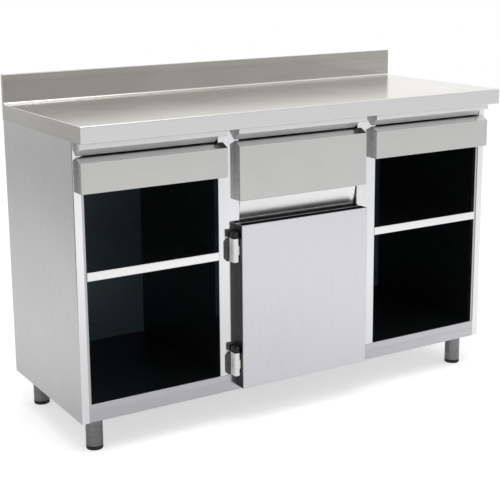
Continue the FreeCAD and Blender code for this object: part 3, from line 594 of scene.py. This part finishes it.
def tube_piece(name, grids, material, body, closed=False):
    """One object from grids of shape (rows, columns, 3), each a tube whose rows are rings."""
    points, faces = [], []
    count = 0
    for grid in grids:
        rows, columns = grid.shape[:2]
        quads = ring_faces(rows + closed, columns)
        faces += (quads % (rows * columns) + count).tolist()
        if not closed:
            faces.append((np.arange(columns)[::-1] + count).tolist())
            faces.append((np.arange(columns) + count + (rows - 1) * columns).tolist())
        points.append(grid.reshape(-1, 3))
        count += rows * columns
    mesh = bpy.data.meshes.new(name)
    mesh.from_pydata(np.concatenate(points).tolist(), [], faces)
    mesh.validate()
    mesh.shade_smooth()
    mesh.set_sharp_from_angle(angle=SMOOTH_UP_TO)
    mesh.materials.append(material)
    piece = bpy.data.objects.new(name, mesh)
    bpy.context.scene.collection.objects.link(piece)
    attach(piece, body)
    volume = signed_volume(mesh)
    if volume < 0:
        mesh.flip_normals()
    print(name, "faces:", len(mesh.polygons), "mm3:", round(abs(volume) / MM ** 3))
    return piece


print("edges stay smooth up to, degrees:", round(math.degrees(SMOOTH_UP_TO)))

# %% [markdown]
# ## Turned and swept shapes
#
# Two kinds of grid are enough for all the small pieces. A turned shape spins a profile about
# an axis, as a lathe does. A swept shape carries a round section along a path, as a weld bead
# or a rolled hem does. Blender's Spin tool and a bevelled curve could do the same, but the
# arrays show the formula and need no cleaning up afterwards.

# %% Shapes as grids
def turned(profile, centre, axis="z", sides=32):
    """Turned shape: profile is (radius, distance) pairs, spun about an axis through the centre.

    Point = centre + radius (cos t e1 + sin t e2) + distance e3.
    """
    radius, distance = np.array(profile, dtype=float).T
    turn = np.linspace(0, 2 * math.pi, sides, endpoint=False)
    grid = np.zeros((len(radius), sides, 3))
    third = AXES[axis]
    grid[..., (third + 1) % 3] = radius[:, None] * np.cos(turn)
    grid[..., (third + 2) % 3] = radius[:, None] * np.sin(turn)
    grid[..., third] = distance[:, None]
    return grid + np.array(centre)


def swept(path, radius, sides=12, closed=False):
    """Round section carried along a path that lies in one plane.

    Point = path + radius (cos t side + sin t up), where side is across the path in its
    plane and up is the plane's normal.
    """
    path = np.array(path, dtype=float)
    if closed:
        ahead = np.roll(path, -1, axis=0) - np.roll(path, 1, axis=0)
    else:
        ahead = np.gradient(path, axis=0)
    ahead /= np.linalg.norm(ahead, axis=1, keepdims=True)
    up = np.linalg.svd(path - path.mean(axis=0), full_matrices=True)[2][2]
    side = np.cross(ahead, up)
    turn = np.linspace(0, 2 * math.pi, sides, endpoint=False)[None, :, None]
    ring = radius * (np.cos(turn) * side[:, None, :] + np.sin(turn) * up)
    return path[:, None, :] + ring


print("a turned disc's grid:", turned([(1, 0), (1, 1)], (0, 0, 0)).shape)

# %% [markdown]
# ## Weld seams on the worktop
#
# The worktop's ends are separate strips, welded to the folded sheet and ground flush. The
# grinding leaves a bright narrow band along each joint. The band could be painted in the
# material, but a real seam also stands a hair proud and catches the light as a line, so it
# is a round bead swept along the end's outline, sunk until only a hair of it shows.

# %% Worktop end seams
SEAM_RADIUS = 1.3 * MM
SEAM_SINK = 1.05 * MM
FRONT_FOLD = 4.0 * MM
TOP_SHEET = 1.5 * MM
SPLASHBACK = 14 * MM
SEAM_STOP = 8 * MM
top_level = board_high[2] + TOP_SHEET
splash_front = worktop_high[1] - SPLASHBACK
weld = ground_steel("ground_weld_seam", "#f6f6f6", "#e4e4e6", 0.12, "y", scratch=0.1)


def end_seam(side):
    """Bead along one end: straight up the front edge, round the fold, straight to the back.

    Round the fold it is a quarter circle whose radius is the fold less what the bead is sunk.
    """
    bend = np.linspace(math.pi, math.pi / 2, 8)
    y = worktop_low[1] + FRONT_FOLD + (FRONT_FOLD - SEAM_SINK) * np.cos(bend)
    z = top_level - FRONT_FOLD + (FRONT_FOLD - SEAM_SINK) * np.sin(bend)
    rise = np.linspace(worktop_low[2] + SEAM_SINK, z[0], 6)[:-1]
    run = np.linspace(y[-1], splash_front - SEAM_STOP, 12)[1:]
    ys = np.concatenate([np.full_like(rise, y[0]), y, run])
    zs = np.concatenate([rise, z, np.full_like(run, z[-1])])
    xs = np.full_like(ys, side * (worktop_high[0] - SEAM_SINK))
    return swept(np.stack([xs, ys, zs], axis=1), SEAM_RADIUS)


tube_piece("worktop_end_seams", [end_seam(-1), end_seam(1)], weld, "cabinet")

# %% [markdown]
# ## Weld beads on the legs
#
# Under the cabinet each leg is welded to its flange by hand. Such a weld is a row of small
# pools, so the bead swells and narrows as it goes round. Overlapping balls would give that
# too, but a wave on the bead's radius is one clean surface.

# %% Leg weld beads
BEAD_RADIUS = 1.8 * MM
BEAD_SWELL = 0.18
BEAD_DROP = 3 * MM
POOLS = 44
TUBE_RADIUS = 25.4 * MM


def leg_bead(corner):
    """Ring round a leg, whose own radius = r (1 + 0.18 sin(n t)), with n pools round the leg."""
    low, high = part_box(corner + "_leg")
    centre = (low + high) / 2
    turn = np.linspace(0, 2 * math.pi, POOLS * 4, endpoint=False)
    ring = np.stack([centre[0] + TUBE_RADIUS * np.cos(turn),
                     centre[1] + TUBE_RADIUS * np.sin(turn),
                     np.full_like(turn, high[2] - BEAD_DROP)], axis=1)
    swell = BEAD_RADIUS * (1 + BEAD_SWELL * np.sin(POOLS * turn))
    return swept(ring, swell[:, None, None], sides=8, closed=True)


tube_piece("leg_weld_beads", [leg_bead(corner) for corner in CORNERS], inside_steel, "cabinet",
           closed=True)

# %% [markdown]
# ## Leg screws
#
# Small fastenings are what makes sheet metal look made. The leg screws have domed heads with
# a socket for a key. A Boolean cut could make the socket, but it leaves untidy faces, so the
# head is turned in one go, from a profile that comes up over the dome and goes back down into
# the socket. The socket is round, which is near enough for a hexagon of five millimetres
# under the counter.

# %% Domed screw heads
SCREW_RADIUS = 5.3 * MM
SCREW_HEIGHT = 1.6 * MM
SOCKET_RADIUS = 2.5 * MM
SCREW_CIRCLE = 32.5 * MM
DOME_TIP = 0.02
SOCKET_TIP = 0.02 * MM
SOCKET_WALL_END = 0.2
SOCKET_FLOOR = 0.15


def dome(radius, height, centre, axis="z", turn_down=False, socket=0.0):
    """Cap turned from a quarter ellipse: radius = r sin t, height = h cos t.

    A socket cuts the profile at its radius and takes it down to a share of the height.
    """
    t = np.linspace(math.pi / 2, DOME_TIP, 8)
    rise = -height if turn_down else height
    profile = np.column_stack([radius * np.sin(t), rise * np.cos(t)])
    if socket:
        outer = profile[profile[:, 0] > socket]
        profile = np.concatenate([outer, [(socket, outer[-1, 1]),
                                          (socket, SOCKET_WALL_END * rise),
                                          (SOCKET_TIP, SOCKET_FLOOR * rise)]])
    return turned(profile, centre, axis, sides=24)


screw_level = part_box("leg_screws")[0][2]
screw_reach = SCREW_CIRCLE * math.sqrt(0.5)
heads = []
for corner in CORNERS:
    low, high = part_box(corner + "_leg")
    x, y, _ = (low + high) / 2
    heads += [dome(SCREW_RADIUS, SCREW_HEIGHT, (x + dx, y + dy, screw_level), turn_down=True,
                   socket=SOCKET_RADIUS)
              for dx in (-screw_reach, screw_reach) for dy in (-screw_reach, screw_reach)]
tube_piece("leg_screw_sockets", heads, zinc, "cabinet")

# %% [markdown]
# ## Ends of the hinge pins
#
# A hinge pin is a turned rod whose lower end stands out of the barrel as a small dome. A
# bevel on the rod would round the hidden upper end too, so only a cap is added, the same
# quarter ellipse as on the screws. It is a little narrower than the pin, as the turning tool
# leaves it.

# %% Hinge pin ends
PIN_SHARE = 0.95
PIN_DOME = 1.5 * MM
BARREL = 72 * MM
pin_radius = (pin_high[0] - pin_low[0]) / 2
ends = [dome(PIN_SHARE * pin_radius, PIN_DOME, (pin[0], pin[1], level), turn_down=True)
        for level in (pin_low[2], pin_high[2] - BARREL)]
tube_piece("hinge_pin_ends", ends, pin_steel, "cabinet")

# %% [markdown]
# ## Rivets at the back
#
# Rivets hold the back panel to the folds of the side panels, at an even pitch up each side.
# An array modifier could repeat one rivet, but a list of levels is as short. A rivet's head
# is the same dome, turned about the Y axis.

# %% Back rivets
RIVET_RADIUS = 3.2 * MM
RIVET_HEIGHT = 1.1 * MM
RIVET_INSET = 7 * MM
RIVET_PITCH = 160 * MM
ABOVE_BOTTOM = 60 * MM
BELOW_TOP = 40 * MM
levels = np.arange(panel_low[2] + ABOVE_BOTTOM, panel_high[2] - BELOW_TOP, RIVET_PITCH)
rivets = [dome(RIVET_RADIUS, RIVET_HEIGHT,
               (side * (worktop_high[0] - RIVET_INSET), panel_high[1], level), axis="y")
          for side in (-1, 1) for level in levels]
tube_piece("back_rivets", rivets, bar_steel, "cabinet")

# %% [markdown]
# ## Rolled hems
#
# Sheet this thin would cut a hand, so the top edges of the trays and of the grounds bin are
# rolled into a small round. A bevel on the sheet's edge would stay as thin as the sheet. A
# hem is thicker, so it is a closed loop with round corners, and a circle carried along it.

# %% Hems on trays and bin
TRAY_WALL = 0.6 * MM
TRAY_CORNER = 2.2 * MM
TRAY_HEM = 0.75 * MM
TRAY_DROP = 0.8 * MM
BIN_HEM = 1.6 * MM
BIN_CORNER = 8.5 * MM


def rounded_loop(low, high, radius, steps=8):
    """Closed rectangle with round corners: a quarter circle about each corner's centre."""
    quarter = np.linspace(0, math.pi / 2, steps)
    centres = [(high[0] - radius, high[1] - radius), (low[0] + radius, high[1] - radius),
               (low[0] + radius, low[1] + radius), (high[0] - radius, low[1] + radius)]
    arcs = [np.stack([x + radius * np.cos(quarter + k * math.pi / 2),
                      y + radius * np.sin(quarter + k * math.pi / 2)], axis=1)
            for k, (x, y) in enumerate(centres)]
    return np.concatenate(arcs)


def hem_path(name, inset, corner, drop):
    """Rounded loop inside a part's outline by the inset, and below its top by the drop."""
    low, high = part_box(name)
    loop = rounded_loop((low[0] + inset, low[1] + inset), (high[0] - inset, high[1] - inset),
                        corner)
    return np.column_stack([loop, np.full(len(loop), high[2] - drop)])


for bay in BAYS:
    hem = swept(hem_path(bay + "_drawer_tray", TRAY_WALL, TRAY_CORNER, TRAY_DROP), TRAY_HEM,
                sides=10, closed=True)
    tube_piece(bay + "_tray_hem", [hem], inside_steel, bay + "_drawer",
               closed=True)
rim = swept(hem_path("grounds_bin", BIN_HEM, BIN_CORNER, BIN_HEM), BIN_HEM, closed=True)
tube_piece("grounds_bin_rim", [rim], inside_steel, "middle_drawer",
           closed=True)

# %% [markdown]
# ## Ribs on the knock bar
#
# The rubber sleeve is what the coffee handle is struck on. Its ribs spread the blow. The
# sleeve could be carved with a modifier, but a turned profile is simpler: the radius dips
# by a rounded groove every few millimetres.

# %% Ribbed sleeve
RIB_PITCH = 7 * MM
RIB_DEPTH = 1.2 * MM
END_STEP = 1.5 * MM
BORE_RADIUS = 6.05 * MM
sleeve_low, sleeve_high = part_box("knock_bar_sleeve")
sleeve_radius = (sleeve_high[2] - sleeve_low[2]) / 2
half_length = (sleeve_high[0] - sleeve_low[0]) / 2
along = np.linspace(-half_length, half_length, 181)
# Radius = sleeve - depth |sin(pi x / pitch)| ^ 3, smaller by a step at both ends.
ribs = sleeve_radius - RIB_DEPTH * np.abs(np.sin(math.pi * along / RIB_PITCH)) ** 3
ribs[[0, -1]] = sleeve_radius - END_STEP
profile = np.column_stack([np.append(ribs, [BORE_RADIUS, BORE_RADIUS]),
                           np.append(along, [half_length, -half_length])])
ribbed = turned(profile, (sleeve_low + sleeve_high) / 2, axis="x", sides=40)
sleeve = tube_piece("knock_sleeve_ribs", [ribbed], rubber, "middle_drawer",
                    closed=True)
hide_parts("knock_bar_sleeve")

# %% [markdown]
# ## Grips on the feet
#
# A foot is turned by hand to level the counter, so its shoe has shallow flutes. They could be
# cut into the shoe, but the shoe belongs to the frame, so they are a ring whose radius waves
# round the foot. It hugs the shoe, and rides on the foot, so it moves with it.

# %% Fluted rings
FLUTES = 36
FLUTE_DEPTH = 0.35 * MM
SHOE_RADIUS = 24.9 * MM
RING_LEVELS = np.array([2.6, 3.2, 8.8, 9.4]) * MM
RING_STAND = np.array([-0.4, 0.35, 0.35, -0.4]) * MM
turn = np.linspace(0, 2 * math.pi, FLUTES * 6, endpoint=False)
# Radius = shoe + stand + depth (|cos(n t / 2)| - 0.5), with the wave on the outer rings only.
wave = FLUTE_DEPTH * (np.abs(np.cos(FLUTES * turn / 2)) - 0.5)
radius = SHOE_RADIUS + RING_STAND[:, None] + wave * (RING_STAND[:, None] > 0)
for corner in CORNERS:
    low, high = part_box(corner + "_foot")
    x, y, _ = (low + high) / 2
    flutes = np.stack([x + radius * np.cos(turn), y + radius * np.sin(turn),
                       np.broadcast_to(RING_LEVELS[:, None], radius.shape)], axis=-1)
    tube_piece(corner + "_foot_flutes", [flutes], nylon, corner + "_foot_body")

# %% [markdown]
# ## Kinds of ray
#
# Polished steel shows what is around it, and an even white studio would leave it flat. A real
# studio has dark flags and a dim side, which the camera never sees. Here the studio can tell
# what kind of ray is asking: one straight from the camera, one by way of a mirror, or light
# that was scattered. Black boards could be built out of the camera's sight, but they would
# also throw shadows.

# %% Rays from the camera and by way of a mirror
def ray_kinds(tree):
    """1 for a ray straight from the camera, and 1 for one by way of a mirror or of glass."""
    path = add(tree, "ShaderNodeLightPath")
    mirrored = add(tree, "ShaderNodeMath", {"operation": "ADD", "use_clamp": True},
                   _0=path.outputs["Is Glossy Ray"], _1=path.outputs["Is Transmission Ray"])
    return path.outputs["Is Camera Ray"], mirrored


floor_paint, tree, place = new_material("white_studio_floor")
straight, mirrored = ray_kinds(tree)
print("the floor's light asks:", straight.name)

# %% [markdown]
# ## Studio floor
#
# The counter stands on a matt white floor. The floor has a little light of its own for rays
# that come straight from the camera, so that it reads as white and still shows the counter's
# shadow. For rays by way of a mirror it has less, and near the counter's front that glow is
# painted darker, as a painted shadow for the steel to mirror. The floor ends two metres to the
# left, so that the side panel mirrors something darker low down. A shadow catcher could be
# used instead, but then the steel would have no floor to mirror.

# %% Floor
FLOOR_LEFT = -2.0
FLOOR_RIGHT = 8.0
FLOOR_NEAR = -9.0
FLOOR_FAR = 5.0
CAMERA_LIFT = 0.5
MIRROR_LIFT = 0.28
PAINTED_SHADOW_SPOT = (-0.6, -0.9, 0.0)
PAINTED_SHADOW_CORE = 0.2
PAINTED_SHADOW_REACH = 1.8
PAINTED_SHADOW_LEVEL = 0.15
floor_mesh = bpy.data.meshes.new("studio_floor")
floor_mesh.from_pydata([(FLOOR_LEFT, FLOOR_NEAR, 0), (FLOOR_RIGHT, FLOOR_NEAR, 0),
                        (FLOOR_RIGHT, FLOOR_FAR, 0), (FLOOR_LEFT, FLOOR_FAR, 0)],
                       [], [(0, 1, 2, 3)])
floor = bpy.data.objects.new("studio_floor", floor_mesh)
bpy.context.scene.collection.objects.link(floor)
seen = add(tree, "ShaderNodeMath", {"operation": "MULTIPLY"}, _0=straight, _1=CAMERA_LIFT)
# Near the counter's front the mirror glow is painted darker: a painted shadow.
near = add(tree, "ShaderNodeVectorMath", {"operation": "DISTANCE"}, _0=place, _1=PAINTED_SHADOW_SPOT)
shade = add(tree, "ShaderNodeMapRange", Value=near.outputs["Value"], From_Min=PAINTED_SHADOW_CORE,
            From_Max=PAINTED_SHADOW_REACH, To_Min=PAINTED_SHADOW_LEVEL * MIRROR_LIFT, To_Max=MIRROR_LIFT)
lift = add(tree, "ShaderNodeMath", {"operation": "MULTIPLY_ADD"},
           _0=mirrored, _1=shade, _2=seen)
glow = add(tree, "ShaderNodeEmission", Color=(1, 1, 1, 1), Strength=lift)
matt = add(tree, "ShaderNodeBsdfDiffuse", Color=linear("#ededed"))
both = add(tree, "ShaderNodeAddShader", _0=glow, _1=matt)
add(tree, "ShaderNodeOutputMaterial", Surface=both)
floor_mesh.materials.append(floor_paint)
print("floor, m:", FLOOR_RIGHT - FLOOR_LEFT, "x", FLOOR_FAR - FLOOR_NEAR)

# %% [markdown]
# ## Studio room
#
# Three kinds of ray see three rooms. The camera sees plain white. Light that the counter
# scatters comes evenly from all round, at one plain level. A mirror sees a room with a bright
# side, the backdrop behind the counter, and a dim side, behind the camera, and below the
# horizon that room gets darker. The room could be modelled with walls, but a world with a
# few nodes gives the same mirror images and costs next to nothing to render.

# %% World
DIM_SIDE = (-0.68, -0.73, 0.0)
BRIGHT = 1.0
DIM = 0.30
BRIGHT_UP_TO = -0.25
DIM_FROM = 0.95
LOW_SHARE = 0.30
LOWEST = -0.3
LIGHT_SHARE = 0.68
world = bpy.data.worlds.new("white_studio")
bpy.context.scene.world = world
world.use_nodes = True
tree = world.node_tree
tree.nodes.clear()
straight, mirrored = ray_kinds(tree)
direction = add(tree, "ShaderNodeTexCoord").outputs["Generated"]
towards = add(tree, "ShaderNodeVectorMath", {"operation": "DOT_PRODUCT"},
              _0=direction, _1=DIM_SIDE)
sides = add(tree, "ShaderNodeMapRange", Value=towards.outputs["Value"], From_Min=BRIGHT_UP_TO,
            From_Max=DIM_FROM, To_Min=BRIGHT, To_Max=DIM)
height = add(tree, "ShaderNodeSeparateXYZ", Vector=direction).outputs["Z"]
low_part = add(tree, "ShaderNodeMapRange", Value=height, From_Min=LOWEST, From_Max=0.0,
               To_Min=LOW_SHARE, To_Max=1.0)
room = add(tree, "ShaderNodeMath", {"operation": "MULTIPLY"}, _0=sides, _1=low_part)
around = add(tree, "ShaderNodeMix", {"data_type": "FLOAT"},
             _0=mirrored, _2=LIGHT_SHARE, _3=room)
level = add(tree, "ShaderNodeMix", {"data_type": "FLOAT"}, _0=straight, _2=around, _3=1.0)
sky = add(tree, "ShaderNodeBackground", Color=(1, 1, 1, 1), Strength=level)
add(tree, "ShaderNodeOutputWorld", Surface=sky)
print("room, bright and dim side:", BRIGHT, DIM)

# %% [markdown]
# ## Studio lamp
#
# One large softbox hangs over the front of the counter. It lights the worktop and the fronts
# from above, and because it is wide, the shadow on the floor has a soft edge. More lamps
# would add more streaks on the steel, so there is only this one.

# %% Softbox
SOFTBOX_PLACE = Vector((-0.4, -1.2, 3.4))
SOFTBOX_AIM = Vector((0, -0.6, 0))
lamp = bpy.data.lights.new("overhead_softbox", "AREA")
lamp.size = 2.4
lamp.energy = 34
softbox = bpy.data.objects.new("overhead_softbox", lamp)
softbox.location = SOFTBOX_PLACE
softbox.rotation_euler = (SOFTBOX_AIM - SOFTBOX_PLACE).to_track_quat("-Z", "Y").to_euler()
bpy.context.scene.collection.objects.link(softbox)
print("softbox, watts:", lamp.energy)
